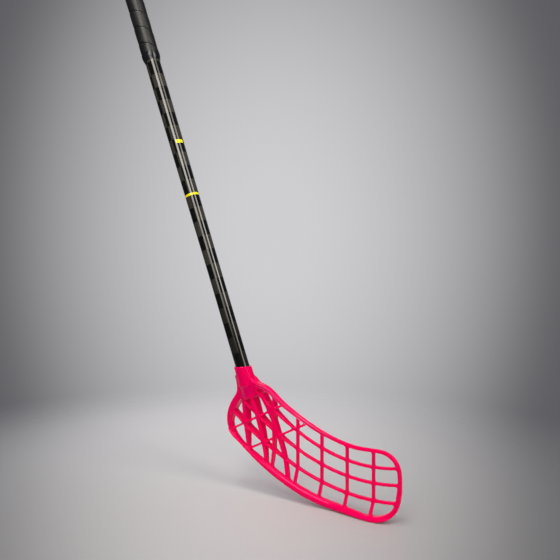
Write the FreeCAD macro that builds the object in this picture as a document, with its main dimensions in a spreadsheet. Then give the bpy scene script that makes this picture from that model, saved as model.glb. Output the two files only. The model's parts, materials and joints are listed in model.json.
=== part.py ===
import FreeCAD, Part
import math
import os
import Sketcher
from FreeCAD import Placement, Rotation, Vector

# Driving dimensions, in millimetres and degrees
SIZES = {
    # Shaft, from its lower end in the socket to its upper end in the grip
    "shaft_length": 920,
    "tip_diameter": 21,
    "top_diameter": 25,
    "tube_wall": 1.8,
    "tip_run": 180,
    "taper_run": 340,
    "lean_angle": 20,
    # Grip
    "wrap_thickness": 2.3,
    "wrap_pitch": 31,
    "wrap_turn": 143,
    "wrap_seam": 0.6,
    "lap_step": 0.5,
    "tape_length": 12,
    "tape_thickness": 0.5,
    "bare_length": 529,
    "seat_clearance": 0.1,
    # End cap
    "cap_plug_length": 28,
    "cap_plug_wall": 2.4,
    "cap_head_height": 9,
    "cap_edge_radius": 4,
    # Socket
    "socket_depth": 46,
    "socket_wall": 2.3,
    "socket_floor": 3,
    "socket_flare": 0.7,
    "stem_step": 1.1,
    "mouth_slant": 15,
    "screw_pad_start": 10,
    "screw_pad_length": 21,
    "screw_pad_width": 12,
    "screw_pad_height": 1.6,
    # Blade screw
    "screw_diameter": 3.4,
    "screw_length": 9,
    "screw_point": 3,
    "screw_head_diameter": 7,
    "screw_head_height": 2.2,
    "screw_head_round": 1.5,
    # Blade, measured from the centre of the socket's mouth
    "blade_reach": 254,
    "blade_drop": 186,
    "upright_start": 57,
    "upright_pitch": 39,
    "upright_width": 4,
    "upright_slant": 3,
    "row_width": 3.6,
    "fan_width": 5.6,
    "brace_width": 3,
    "heel_front": 8,
    "web_front": 4,
    "heel_depth": 16,
    "web_depth": 6,
    "rim_depth": 6.5,
    "shoulder_depth": 25,
    "rim_bevel_height": 8,
    "rim_bevel_depth": 4,
    "sole_depth": 11,
    "ledge_depth": 4,
    "ledge_drop": 3,
    "scoop": 10,
    "hook_start": 60,
    "hook_radius": 1500,
    # One overrun for every cut, and the room that the arcs have beside the smooth lines
    "overrun": 5,
    "arc_tolerance": 0.05,
}
CORNER_SHARE = 0.293
UPRIGHT_COUNT = 5
POINTS_PER_TURN = 3600

document = FreeCAD.newDocument("floorball_stick")
sheet = document.addObject("Spreadsheet::Sheet", "sizes")
for row_number, (alias, value) in enumerate(SIZES.items(), start=1):
    sheet.set(f"A{row_number}", alias)
    sheet.set(f"B{row_number}", str(value))
    sheet.setAlias(f"B{row_number}", alias)
document.recompute()


def size(alias):
    return float(sheet.get(alias))


def worked_out(expression):
    return float(sheet.evalExpression(expression))


def new_body(label):
    body = document.addObject("PartDesign::Body", label)
    body.Label = label
    return body


def add_sketch(body, name, role="XZ_Plane"):
    sketch = body.newObject("Sketcher::SketchObject", name)
    plane = next(feature for feature in body.Origin.OriginFeatures if feature.Role == role)
    sketch.AttachmentSupport = [(plane, "")]
    sketch.MapMode = "FlatFace"
    return sketch


def bind(sketch, constraint, expression):
    index = sketch.addConstraint(constraint)
    sketch.setExpression(f"Constraints[{index}]", expression)


def place_point(sketch, geometry, point, across, up):
    """Ties one end of a line to its two expressions, or to an axis where the expression is 0."""
    if across == "0":
        sketch.addConstraint(Sketcher.Constraint("PointOnObject", geometry, point, -2))
    else:
        distance = Sketcher.Constraint("DistanceX", -1, 1, geometry, point, worked_out(across))
        bind(sketch, distance, across)
    if up == "0":
        sketch.addConstraint(Sketcher.Constraint("PointOnObject", geometry, point, -1))
    else:
        distance = Sketcher.Constraint("DistanceY", -1, 1, geometry, point, worked_out(up))
        bind(sketch, distance, up)


def draw_outline(sketch, corners):
    """Draws a closed outline of lines, whose corners are pairs of expressions on the sheet."""
    spots = [Vector(worked_out(across), worked_out(up), 0) for across, up in corners]
    first = sketch.GeometryCount
    count = len(spots)
    for index, spot in enumerate(spots):
        sketch.addGeometry(Part.LineSegment(spot, spots[(index + 1) % count]), False)
    for index in range(count):
        following = first + (index + 1) % count
        sketch.addConstraint(Sketcher.Constraint("Coincident", first + index, 2, following, 1))
    for index, (across, up) in enumerate(corners):
        place_point(sketch, first + index, 1, across, up)


def turned(body, name, corners):
    """Revolves an outline about the body's own upright axis."""
    sketch = add_sketch(body, f"{name}_profile")
    draw_outline(sketch, corners)
    feature = body.newObject("PartDesign::Revolution", name)
    feature.Profile = sketch
    feature.ReferenceAxis = (sketch, ["V_Axis"])
    feature.Angle = 360
    document.recompute()
    return feature


def round_corner(radius, height, rounding):
    """Corners of an edge that is rounded in two flats, at this radius and height."""
    return [
        (radius, f"{height} - {rounding}"),
        (f"{radius} - {CORNER_SHARE} * {rounding}", f"{height} - {CORNER_SHARE} * {rounding}"),
        (f"{radius} - {rounding}", height),
    ]


# Shaft
TIP_RADIUS = "sizes.tip_diameter / 2"
TOP_RADIUS = "sizes.top_diameter / 2"
WALL = "sizes.tube_wall"
SCREW_DOWN = "(sizes.screw_pad_start + sizes.screw_pad_length / 2)"


def make_shaft():
    """Hollow tube: straight tip, long taper, straight grip end, with the screw's hole near the tip."""
    shaft = new_body("shaft")
    taper_end = "sizes.tip_run + sizes.taper_run"
    turned(shaft, "tube", [
        (f"{TIP_RADIUS} - {WALL}", "0"),
        (TIP_RADIUS, "0"),
        (TIP_RADIUS, "sizes.tip_run"),
        (TOP_RADIUS, taper_end),
        (TOP_RADIUS, "sizes.shaft_length"),
        (f"{TOP_RADIUS} - {WALL}", "sizes.shaft_length"),
        (f"{TOP_RADIUS} - {WALL}", taper_end),
        (f"{TIP_RADIUS} - {WALL}", "sizes.tip_run"),
    ])
    whole = shaft.Shape.Volume
    sketch = add_sketch(shaft, "screw_hole_circle", "YZ_Plane")
    height = f"sizes.socket_depth - {SCREW_DOWN}"
    radius = "sizes.screw_diameter / 2 + sizes.seat_clearance"
    middle = Vector(0, worked_out(height), 0)
    sketch.addGeometry(Part.Circle(middle, Vector(0, 0, 1), worked_out(radius)), False)
    sketch.addConstraint(Sketcher.Constraint("PointOnObject", 0, 3, -2))
    bind(sketch, Sketcher.Constraint("DistanceY", -1, 1, 0, 3, worked_out(height)), height)
    bind(sketch, Sketcher.Constraint("Radius", 0, worked_out(radius)), radius)
    hole = shaft.newObject("PartDesign::Pocket", "screw_hole")
    hole.Profile = sketch
    hole.setExpression("Length", "sizes.tip_diameter")
    document.recompute()
    if shaft.Shape.Volume >= whole:
        raise ValueError("the screw hole cuts nothing")
    return shaft


# Grip
WRAP_INNER = f"{TOP_RADIUS} + sizes.seat_clearance"
WRAP_OUTER = f"{TOP_RADIUS} + sizes.wrap_thickness"
WRAP_START = "sizes.socket_depth + sizes.bare_length + sizes.tape_length"
WRAP_LENGTH = f"(sizes.shaft_length - ({WRAP_START}))"


def make_grip_wrap():
    """Strip wound in one helix. It is wound a turn too far at both ends, then trimmed square."""
    wrap = new_body("grip_wrap")
    width = "sizes.wrap_pitch - sizes.wrap_seam"
    lower_radius = f"{WRAP_OUTER} - sizes.lap_step"
    sketch = add_sketch(wrap, "strip_section")
    draw_outline(sketch, [
        (WRAP_INNER, "0"),
        (lower_radius, "0"),
        (WRAP_OUTER, width),
        (WRAP_INNER, width),
    ])
    strip = wrap.newObject("PartDesign::AdditiveHelix", "strip")
    strip.Profile = sketch
    strip.ReferenceAxis = (sketch, ["V_Axis"])
    strip.Mode = 0
    strip.LeftHanded = True
    strip.setExpression("Pitch", "sizes.wrap_pitch")
    strip.setExpression("Height", f"{WRAP_LENGTH} + sizes.wrap_pitch")
    document.recompute()
    top = f"sizes.wrap_pitch + {WRAP_LENGTH}"
    sketch = add_sketch(wrap, "end_trims")
    clear_radius = f"{WRAP_OUTER} + sizes.overrun"
    draw_outline(sketch, [
        ("sizes.tip_diameter / 2", "0"),
        (clear_radius, "0"),
        (clear_radius, "sizes.wrap_pitch"),
        ("sizes.tip_diameter / 2", "sizes.wrap_pitch"),
    ])
    draw_outline(sketch, [
        ("sizes.tip_diameter / 2", top),
        (clear_radius, top),
        (clear_radius, f"{top} + sizes.wrap_pitch + sizes.overrun"),
        ("sizes.tip_diameter / 2", f"{top} + sizes.wrap_pitch + sizes.overrun"),
    ])
    trim = wrap.newObject("PartDesign::Groove", "trimmed_ends")
    trim.Profile = sketch
    trim.ReferenceAxis = (sketch, ["V_Axis"])
    trim.Angle = 360
    document.recompute()
    return wrap


def winding_gap():
    """Least gap between a turn of the strip and the next one, on points along the next turn's edge."""
    pitch = size("wrap_pitch")
    gaps = []
    for radius in (worked_out(WRAP_INNER), worked_out(WRAP_OUTER)):
        edge = Vector(radius, 0, pitch - size("wrap_seam"))
        for number in range(POINTS_PER_TURN):
            turn_share = number / POINTS_PER_TURN - 1 / 2
            angle = math.tau * turn_share
            following = Vector(radius * math.cos(angle), radius * math.sin(angle), pitch * (1 + turn_share))
            gaps.append(edge.distanceToPoint(following))
    return min(gaps)


def make_grip_end_tape():
    """Band that steps from the wrap down to the bare shaft."""
    tape = new_body("grip_end_tape")
    turned(tape, "band", [
        (WRAP_INNER, "0"),
        (f"{WRAP_INNER} + sizes.tape_thickness", "0"),
        (WRAP_OUTER, "sizes.tape_length"),
        (WRAP_INNER, "sizes.tape_length"),
    ])
    return tape


def make_end_cap():
    """Hollow plug in the tube, with a rounded head as wide as the grip."""
    cap = new_body("end_cap")
    plug_radius = f"{TOP_RADIUS} - {WALL} - sizes.seat_clearance"
    cap_top = "sizes.cap_plug_length + sizes.cap_head_height"
    turned(cap, "plug_and_head", [
        (f"{plug_radius} - sizes.cap_plug_wall", "0"),
        (plug_radius, "0"),
        (plug_radius, "sizes.cap_plug_length"),
        (WRAP_OUTER, "sizes.cap_plug_length"),
        *round_corner(WRAP_OUTER, cap_top, "sizes.cap_edge_radius"),
        ("0", cap_top),
        ("0", "sizes.cap_plug_length"),
        (f"{plug_radius} - sizes.cap_plug_wall", "sizes.cap_plug_length"),
    ])
    return cap


# Blade screw
def make_blade_screw():
    """Pan head on a plain shank with a point. The head's underside is at the shank's length."""
    screw = new_body("blade_screw")
    head_top = "sizes.screw_length + sizes.screw_head_height"
    turned(screw, "shank_and_head", [
        ("0", "0"),
        ("sizes.screw_diameter / 2", "sizes.screw_point"),
        ("sizes.screw_diameter / 2", "sizes.screw_length"),
        ("sizes.screw_head_diameter / 2", "sizes.screw_length"),
        *round_corner("sizes.screw_head_diameter / 2", head_top, "sizes.screw_head_round"),
        ("0", head_top),
    ])
    return screw


# Blade: each lengthwise row's level at its belly and its rise at the socket, in shares of the drop,
# and the place of its belly, in shares of the reach
ROW_SHARES = {
    "top_edge": (0.500, 0.630, 0.80),
    "top_inner": (0.524, 0.565, 0.80),
    "upper_row": (0.624, 0.586, 0.80),
    "middle_row": (0.737, 0.497, 0.80),
    "lower_row": (0.860, 0.434, 0.80),
    "sole_inner": (0.952, 0.355, 0.79),
    "sole_edge": (0.985, 0.357, 0.72),
}
# Where each row is followed, in shares of the reach
SOLE_RUN_SHARES = (-0.03, 0.12, 0.28, 0.44, 0.60, 0.76)
TOP_RUN_SHARES = (0.76, 0.60, 0.44)
ROW_RUN_SHARES = {
    "upper_row": (0.05, 0.24, 0.42, 0.62, 0.80, 1.0),
    "middle_row": (0.0, 0.20, 0.40, 0.60, 0.80, 1.0),
    "lower_row": (-0.12, 0.10, 0.32, 0.54, 0.78, 1.0),
}
# Rounded ends of the blade, as shares of the reach and of the drop
TOE_OUTER_SHARES = (
    (0.885, 0.981), (0.955, 0.925), (0.990, 0.810), (0.994, 0.670), (0.976, 0.565), (0.92, 0.504),
    (0.85, 0.494),
)
TOE_INNER_SHARES = (
    (0.875, 0.950), (0.940, 0.896), (0.967, 0.785), (0.974, 0.670), (0.963, 0.590), (0.925, 0.534),
    (0.86, 0.517),
)
SHOULDER_SHARES = ((0.36, 0.313), (0.283, 0.248), (0.215, 0.172), (0.170, 0.137), (0.10, 0.111))
SHOULDER_INNER_SHARES = ((0.32, 0.317), (0.22, 0.224), (0.15, 0.173))
HEEL_OUTER_SHARES = (
    (0.03, 0.07), (-0.025, 0.12), (-0.023, 0.195), (-0.055, 0.270), (-0.088, 0.360), (-0.103, 0.455),
    (-0.080, 0.542),
)
HEEL_INNER_SHARES = ((0.04, 0.22), (-0.020, 0.300), (-0.054, 0.390), (-0.067, 0.465), (-0.042, 0.545))
# Straight and bowed ribs of the heel, as points in the same shares
FAN_SHARES = (
    ((0.020, 0.24), (0.055, 0.69)),
    ((0.075, 0.24), (0.142, 0.50), (0.182, 0.78)),
    ((0.140, 0.20), (0.260, 0.527), (0.332, 0.885)),
)
BRACE_SHARES = (
    ((-0.090, 0.535), (0.290, 0.270)),
    ((0.040, 0.668), (0.450, 0.385)),
)
LEAST_WINDOW_SHARE = 0.2
# The rim's bevel and the sole's scoop fade out towards the toe
LEAST_BEVEL_SHARE = 0.2
LEAST_SCOOP_SHARE = 0.3
SCOOP_FADE_SHARE = 0.14
STATION_SHARES = (-0.15, 0.04, 0.22, 0.38, 0.53, 0.69, 0.86, 0.95, 1.03)


def spot(share_pair):
    """Place in the blade's plane, from shares of its reach and of its drop."""
    across_share, down_share = share_pair
    return Vector(across_share * size("blade_reach"), 0, -down_share * size("blade_drop"))


def row_height(row, across):
    """Every row is a parabola with its lowest place at the belly."""
    level_share, rise_share, belly_share = ROW_SHARES[row]
    away_share = 1 - across / (belly_share * size("blade_reach"))
    return size("blade_drop") * (rise_share * away_share ** 2 - level_share)


def row_spots(row, run_shares):
    places = [share * size("blade_reach") for share in run_shares]
    return [Vector(across, 0, row_height(row, across)) for across in places]


def smooth_edges(spots, closed=False):
    """Arcs along a smooth line through these places."""
    curve = Part.BSplineCurve()
    curve.interpolate(spots, PeriodicFlag=closed)
    return [arc.toShape() for arc in curve.toBiArcs(size("arc_tolerance"))]


def flat_face(edges):
    return Part.Face(Part.Wire(Part.__sortEdges__(edges)))


def band(spots, width):
    """Flat band of one width along a line through these places."""
    sides = []
    for hand in (1, -1):
        moved = []
        for index, place in enumerate(spots):
            along = spots[min(index + 1, len(spots) - 1)] - spots[max(index - 1, 0)]
            square = Vector(-along.z, 0, along.x).normalize()
            moved.append(place + square * (hand * width / 2))
        sides.append(moved)
    edges = [Part.makeLine(sides[0][end], sides[1][end]) for end in (0, -1)]
    for side in sides:
        edges += smooth_edges(side) if len(side) > 2 else [Part.makeLine(*side)]
    return flat_face(edges)


def upright_band(across):
    """Straight rib from the top to the lower row, which then slants towards the heel to the sole."""
    knee = row_height("lower_row", across)
    foot = Vector(across - size("upright_slant"), 0, row_height("sole_edge", across))
    top = Vector(across, 0, row_height("top_edge", across))
    half = Vector(size("upright_width") / 2, 0, 0)
    bend = Vector(across, 0, knee)
    corners = [top - half, bend - half, foot - half, foot + half, bend + half, top + half]
    return Part.Face(Part.makePolygon(corners + corners[:1]))


def lattice_bands():
    bands = [band(row_spots(row, shares), size("row_width")) for row, shares in ROW_RUN_SHARES.items()]
    bands += [band([spot(pair) for pair in pairs], size("fan_width")) for pairs in FAN_SHARES]
    bands += [band([spot(pair) for pair in pairs], size("brace_width")) for pairs in BRACE_SHARES]
    for number in range(UPRIGHT_COUNT):
        bands.append(upright_band(size("upright_start") + number * size("upright_pitch")))
    return bands


def blade_outline():
    spots = [spot(pair) for pair in HEEL_OUTER_SHARES]
    spots += row_spots("sole_edge", SOLE_RUN_SHARES)
    spots += [spot(pair) for pair in TOE_OUTER_SHARES]
    spots += row_spots("top_edge", TOP_RUN_SHARES)
    spots += [spot(pair) for pair in SHOULDER_SHARES]
    return flat_face(smooth_edges(spots, True))


def window_faces():
    """Every opening between the ribs."""
    spots = [spot(pair) for pair in HEEL_INNER_SHARES]
    spots += row_spots("sole_inner", SOLE_RUN_SHARES[1:])
    spots += [spot(pair) for pair in TOE_INNER_SHARES]
    spots += row_spots("top_inner", TOP_RUN_SHARES)
    spots += [spot(pair) for pair in SHOULDER_INNER_SHARES]
    field = flat_face(smooth_edges(spots, True))
    least_area = LEAST_WINDOW_SHARE * size("upright_pitch") * size("upright_width")
    return [cell for cell in field.cut(lattice_bands()).Faces if cell.Area > least_area]


def blade_section(across):
    """Cross-section of the whole slab: bevelled rim, deep shoulder, thin web, scooped foot and thick sole."""
    heel_share = max(0, min(1, 1 - across / (size("upright_start") + size("upright_pitch"))))
    hook = max(0, across - size("hook_start")) ** 2 / (2 * size("hook_radius"))
    front = -hook - size("web_front") - heel_share * (size("heel_front") - size("web_front"))
    web_depth = size("web_depth") + heel_share * (size("heel_depth") - size("web_depth"))
    shoulder_depth = size("web_depth") + heel_share * (size("shoulder_depth") - size("web_depth"))
    toe_share = max(LEAST_SCOOP_SHARE, min(1, (1 - across / size("blade_reach")) / SCOOP_FADE_SHARE))
    scoop_front = front - min(1 - heel_share, toe_share) * size("scoop")
    scoop_back = scoop_front + size("sole_depth")
    ledge_back = scoop_front + toe_share * size("ledge_depth")
    top = row_height("top_edge", across)
    roof = top + size("overrun")
    shoulder = row_height("upper_row", across)
    knee = row_height("lower_row", across)
    ledge = row_height("sole_inner", across)
    floor = row_height("sole_edge", across) - size("overrun")
    bevel_share = max(LEAST_BEVEL_SHARE, min(1, 2 - 2 * across / size("blade_reach")))
    bevel_back = front + bevel_share * size("rim_bevel_depth")
    bevel_foot = top - bevel_share * size("rim_bevel_height")
    corners = [
        (bevel_back, roof), (bevel_back, top), (front, bevel_foot), (front, knee),
        (ledge_back, ledge), (scoop_front, ledge - size("ledge_drop")),
        (scoop_front, floor), (scoop_back, floor), (scoop_back, ledge),
        (front + web_depth, knee), (front + shoulder_depth, shoulder), (front + size("rim_depth"), roof),
    ]
    spots = [Vector(across, depth, height) for depth, height in corners]
    return Part.makePolygon(spots + spots[:1])


def along_axis(distance):
    """Place on the shaft's axis, from the socket's mouth."""
    return tilt.multVec(Vector(0, 0, distance))


def socket_solids():
    """Collar with its slanted mouth and screw pad, slimmer stem under it, and the hollows that are cut."""
    stem_length = size("socket_depth") + size("socket_floor")
    collar_length = size("screw_pad_start") + size("screw_pad_length")
    bore_radius = size("tip_diameter") / 2 + size("seat_clearance")
    mouth_radius = bore_radius + size("socket_wall")
    foot_radius = mouth_radius + size("socket_flare")
    rise = mouth_radius
    outside = Part.makeCone(foot_radius, mouth_radius, collar_length, Vector(0, 0, -collar_length))
    outside = outside.fuse(Part.makeCylinder(mouth_radius, rise))
    stem_radius = mouth_radius - size("stem_step")
    outside = outside.fuse(Part.makeCylinder(stem_radius, stem_length, Vector(0, 0, -stem_length)))
    pad_reach = foot_radius + size("screw_pad_height")
    pad_low = -size("screw_pad_start") - size("screw_pad_length")
    pad_corner = Vector(-pad_reach, -size("screw_pad_width") / 2, pad_low)
    pad = Part.makeBox(pad_reach, size("screw_pad_width"), size("screw_pad_length"), pad_corner)
    half = 2 * mouth_radius
    above = Part.makeBox(2 * half, 2 * half, half, Vector(-half, -half, 0))
    above.rotate(Vector(), Vector(0, 1, 0), size("mouth_slant"))
    outside = outside.fuse(pad).cut(above)
    bore = Part.makeCylinder(bore_radius, size("socket_depth") + half, Vector(0, 0, -size("socket_depth")))
    hole_radius = size("screw_diameter") / 2 + size("seat_clearance")
    hole_start = Vector(0, 0, -worked_out(SCREW_DOWN))
    hole = Part.makeCylinder(hole_radius, pad_reach + size("overrun"), hole_start, Vector(-1, 0, 0))
    head_radius = size("screw_head_diameter") / 2 + size("seat_clearance")
    head_start = hole_start + Vector(-pad_reach, 0, 0)
    head_room = Part.makeCylinder(head_radius, size("blade_reach"), head_start, Vector(-1, 0, 0))
    return outside, [bore, hole, head_room]


def make_blade():
    """Lattice prism, cut to the hooked slab, joined to the socket."""
    depth = size("blade_drop")
    stations = [blade_section(share * size("blade_reach")) for share in STATION_SHARES]
    slab = Part.makeLoft(stations, True, False)
    draw = Vector(0, 2 * depth, 0)
    back_step = Vector(0, -depth, 0)
    solid = blade_outline().translated(back_step).extrude(draw).common(slab)
    solid = solid.cut([window.translated(back_step).extrude(draw) for window in window_faces()])
    outside, hollows = socket_solids()
    for piece in [outside] + hollows:
        piece.Placement = Placement(Vector(), tilt).multiply(piece.Placement)
    solid = solid.fuse(outside).cut(hollows)
    blade = document.addObject("Part::Feature", "blade")
    blade.Label = "blade"
    blade.Shape = solid.removeSplitter()
    return blade


tilt = Rotation(Vector(0, 1, 0), -size("lean_angle"))
tip = -size("socket_depth") + size("seat_clearance")
screw_seat = -(size("tip_diameter") / 2 + size("seat_clearance") + size("socket_wall") + size("socket_flare")
               + size("screw_pad_height") - size("screw_length"))
screw_turn = tilt.multiply(Rotation(Vector(0, 0, 1), Vector(-1, 0, 0)))
screw_place = tilt.multVec(Vector(screw_seat, 0, -worked_out(SCREW_DOWN)))
wrap_turn = tilt.multiply(Rotation(Vector(0, 0, 1), size("wrap_turn")))
parts = {
    make_shaft(): Placement(along_axis(tip), tilt),
    make_grip_wrap(): Placement(along_axis(tip + worked_out(WRAP_START) - size("wrap_pitch")), wrap_turn),
    make_grip_end_tape(): Placement(along_axis(size("bare_length")), tilt),
    make_end_cap(): Placement(along_axis(tip + size("shaft_length") - size("cap_plug_length")), tilt),
    make_blade(): Placement(),
    make_blade_screw(): Placement(screw_place, screw_turn),
}
print("least gap between turns of the wrap", round(winding_gap(), 2), "mm")
for part, placement in parts.items():
    part.Placement = placement
document.recompute()

# The stick stands on its blade, with the middle of its box over the origin
box = Part.makeCompound([part.Shape for part in parts]).optimalBoundingBox()
stand = Placement(Vector(-box.Center.x, -box.Center.y, -box.ZMin), Rotation())
for part, placement in parts.items():
    part.Placement = stand.multiply(placement)
document.recompute()

for node in document.Objects:
    if "Invalid" in node.State or "Error" in node.State:
        raise ValueError(f"{node.Label} failed")
os.makedirs("parts", exist_ok=True)
for part in parts:
    if part.Shape.isNull() or not part.Shape.isValid() or not part.Shape.Shells[0].isClosed():
        raise ValueError(f"{part.Label} is not a sound shape")
    part.Shape.exportStep(f"parts/{part.Label}.step")
    print(part.Label, len(part.Shape.Solids), "solid,", round(part.Shape.Volume), "mm3")
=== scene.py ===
# %% [markdown]
# # A floorball stick
# The stick is a slim carbon tube with a cushioned strip wound round its upper end and an open, moulded
# blade pushed on its lower end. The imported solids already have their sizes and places, so this lesson
# adds what a solid lacks: soft edges, the wound strip's form, the finishes, the light and the
# photographer's camera.

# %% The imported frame
import json
import math

import bmesh
import bpy
from mathutils import Matrix, Vector, noise


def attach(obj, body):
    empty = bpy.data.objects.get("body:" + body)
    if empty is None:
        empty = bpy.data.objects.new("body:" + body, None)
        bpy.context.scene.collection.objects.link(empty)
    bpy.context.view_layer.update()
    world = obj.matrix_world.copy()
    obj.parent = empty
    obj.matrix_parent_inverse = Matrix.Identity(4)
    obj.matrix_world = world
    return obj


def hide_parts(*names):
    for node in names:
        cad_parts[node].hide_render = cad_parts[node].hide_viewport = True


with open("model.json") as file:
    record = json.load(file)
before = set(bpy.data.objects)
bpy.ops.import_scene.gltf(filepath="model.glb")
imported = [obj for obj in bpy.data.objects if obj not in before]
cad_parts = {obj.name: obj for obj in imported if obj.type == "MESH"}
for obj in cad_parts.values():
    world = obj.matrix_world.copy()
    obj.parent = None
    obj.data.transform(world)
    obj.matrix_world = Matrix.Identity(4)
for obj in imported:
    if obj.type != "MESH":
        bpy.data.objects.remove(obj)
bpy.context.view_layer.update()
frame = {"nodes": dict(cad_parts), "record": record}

MM = 0.001
NODES = frame["nodes"]
print("nodes:", sorted(NODES))

# %% [markdown]
# ## The shaft's line
# Everything on the shaft is measured from the middle of the socket's mouth, along the leaning axis. The
# mount on the end cap gives both: its axis is the shaft's, and it lies a known length above the mouth. A
# matrix that stands at the mouth and leans with the shaft lets each piece be modelled upright and then
# put in its place.

# %% The shaft's line
BUTT_ABOVE_MOUTH = 883.1 * MM
MOUNTS = {mount["name"]: mount for mount in frame["record"]["mounts"]}
AXIS = Vector(MOUNTS["butt"]["axis"]).normalized()
MOUTH = Vector(MOUNTS["butt"]["pos_m"]) - AXIS * BUTT_ABOVE_MOUTH
LEAN = AXIS.angle(Vector((0, 0, 1)))


def up_the_shaft(distance):
    """Matrix that stands an upright piece on the shaft's axis, this far above the mouth."""
    return Matrix.Translation(MOUTH + AXIS * distance) @ Matrix.Rotation(-LEAN, 4, "Y")


print("mouth at", [round(value, 4) for value in MOUTH], "lean", round(math.degrees(LEAN), 2))

# %% [markdown]
# ## Camera
# The photographer stood in front of the toe with a level camera and a normal lens. The shaft's two edges,
# its lean and the blade's length fix the place: any other distance would make the blade too long for its
# height.

# %% Camera
CAMERA_FROM_MOUTH = Vector((472.5, -711.5, 130.9)) * MM
CAMERA_TURN = math.radians(29.76)
CAMERA_TILT = math.radians(90)
SENSOR_WIDTH = 36
LENS = 36
collection = bpy.context.scene.collection


def add_object(name, data):
    """New object in the scene, at the origin."""
    piece = bpy.data.objects.new(name, data)
    collection.objects.link(piece)
    return piece


camera = add_object("camera", bpy.data.cameras.new("camera"))
camera.data.sensor_width = SENSOR_WIDTH
camera.data.lens = LENS
camera.location = MOUTH + CAMERA_FROM_MOUTH
camera.rotation_euler = (CAMERA_TILT, 0, CAMERA_TURN)
bpy.context.scene.camera = camera
bpy.context.scene.view_settings.view_transform = "Standard"
print("camera at", [round(value, 3) for value in camera.location])

# %% [markdown]
# ## Wiring helpers
# A node tree is easier to read as a list of sums than as a list of links. `put` adds a node and feeds its
# inputs, each with a plain value or with another node's output. `reckon` and `reckon_vector` do the same
# for one step of arithmetic, so a formula can be written as it would be on paper.

# %% Wiring helpers
def feed(tree, value, socket):
    """Links an output to this input, or sets a plain value on it."""
    if isinstance(value, bpy.types.NodeSocket):
        tree.links.new(value, socket)
    else:
        socket.default_value = value


def put(tree, kind, inputs=None, **settings):
    """Adds a node with these settings and feeds its inputs."""
    node = tree.nodes.new(kind)
    for name, value in settings.items():
        setattr(node, name, value)
    for key, value in (inputs or {}).items():
        feed(tree, value, node.inputs[key])
    return node


def reckon(tree, operation, *values):
    """One step of arithmetic."""
    node = put(tree, "ShaderNodeMath", dict(enumerate(values)), operation=operation)
    return node.outputs[0]


def reckon_vector(tree, operation, *values):
    """One step of vector arithmetic. Lengths and dot products come out as numbers."""
    node = put(tree, "ShaderNodeVectorMath", dict(enumerate(values)), operation=operation)
    return node.outputs["Value" if operation in ("LENGTH", "DOT_PRODUCT") else "Vector"]


def split(tree, vector):
    """The three numbers of a vector."""
    return put(tree, "ShaderNodeSeparateXYZ", {0: vector}).outputs


def join(tree, x=0.0, y=0.0, z=0.0):
    """Vector of three numbers."""
    return put(tree, "ShaderNodeCombineXYZ", {0: x, 1: y, 2: z}).outputs[0]


def blend_colours(tree, share, first, second):
    """Mix of two colours."""
    node = put(tree, "ShaderNodeMix", data_type="RGBA")
    for index, value in ((0, share), (6, first), (7, second)):
        feed(tree, value, node.inputs[index])
    return node.outputs[2]


def ramp(tree, value, low, high, low_result=0.0, high_result=1.0):
    """Smooth step from one result to the other."""
    steps = dict(enumerate((value, low, high, low_result, high_result)))
    return put(tree, "ShaderNodeMapRange", steps, interpolation_type="SMOOTHSTEP").outputs[0]


def object_place(tree):
    return put(tree, "ShaderNodeTexCoord").outputs["Object"]


WIRING_HELPERS = (feed, put, reckon, reckon_vector, split, join, blend_colours, ramp, object_place)
print("wiring helpers:", [helper.__name__ for helper in WIRING_HELPERS])

# %% [markdown]
# ## Node groups
# What several trees share is built once as a node group and then placed in each of them, with its own
# values. A helper makes an empty group with its named sockets, so each group below starts with one call.

# %% Group helpers
def new_group(name, inputs, outputs):
    """Empty shader group. Inputs are numbers or, with three of them, vectors, and outputs are numbers."""
    tree = bpy.data.node_groups.new(name, "ShaderNodeTree")
    for label, value in inputs.items():
        kind = "NodeSocketVector" if isinstance(value, tuple) else "NodeSocketFloat"
        tree.interface.new_socket(label, in_out="INPUT", socket_type=kind).default_value = value
    for label in outputs:
        tree.interface.new_socket(label, in_out="OUTPUT", socket_type="NodeSocketFloat")
    return tree, tree.nodes.new("NodeGroupInput").outputs, tree.nodes.new("NodeGroupOutput").inputs


def place_group(tree, group, **inputs):
    """Places a group and feeds its inputs. An underscore stands for a space in a label."""
    node = put(tree, "ShaderNodeGroup", node_tree=group)
    for label, value in inputs.items():
        feed(tree, value, node.inputs[label.replace("_", " ")])
    return node.outputs


print("group helpers:", [helper.__name__ for helper in (new_group, place_group)])

# %% [markdown]
# ## Backdrop
# The photo was taken on a pale grey sweep of paper that is brightest behind the stick and falls off to
# both sides. A lamp on the paper would do that, but it would also light the stick. So one group works out
# the fall-off from the direction in which a spot is seen, for the world and for the floor, and ends it
# softly.

# %% Backdrop's fall-off
SPOT_TURN = CAMERA_TURN + math.radians(0.7)
SPOT_RISE = 0.06
SPOT_WIDE = math.cos(math.radians(27))
SPOT_NARROW = math.cos(math.radians(3))
SPOT_SOFTNESS = 0.35
SPOT_LIFT = 0.7
ROOM_START = math.cos(math.radians(31.5))
ROOM_END = math.cos(math.radians(52))
LOOK = Vector((-math.sin(SPOT_TURN), math.cos(SPOT_TURN), SPOT_RISE)).normalized()


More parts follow.
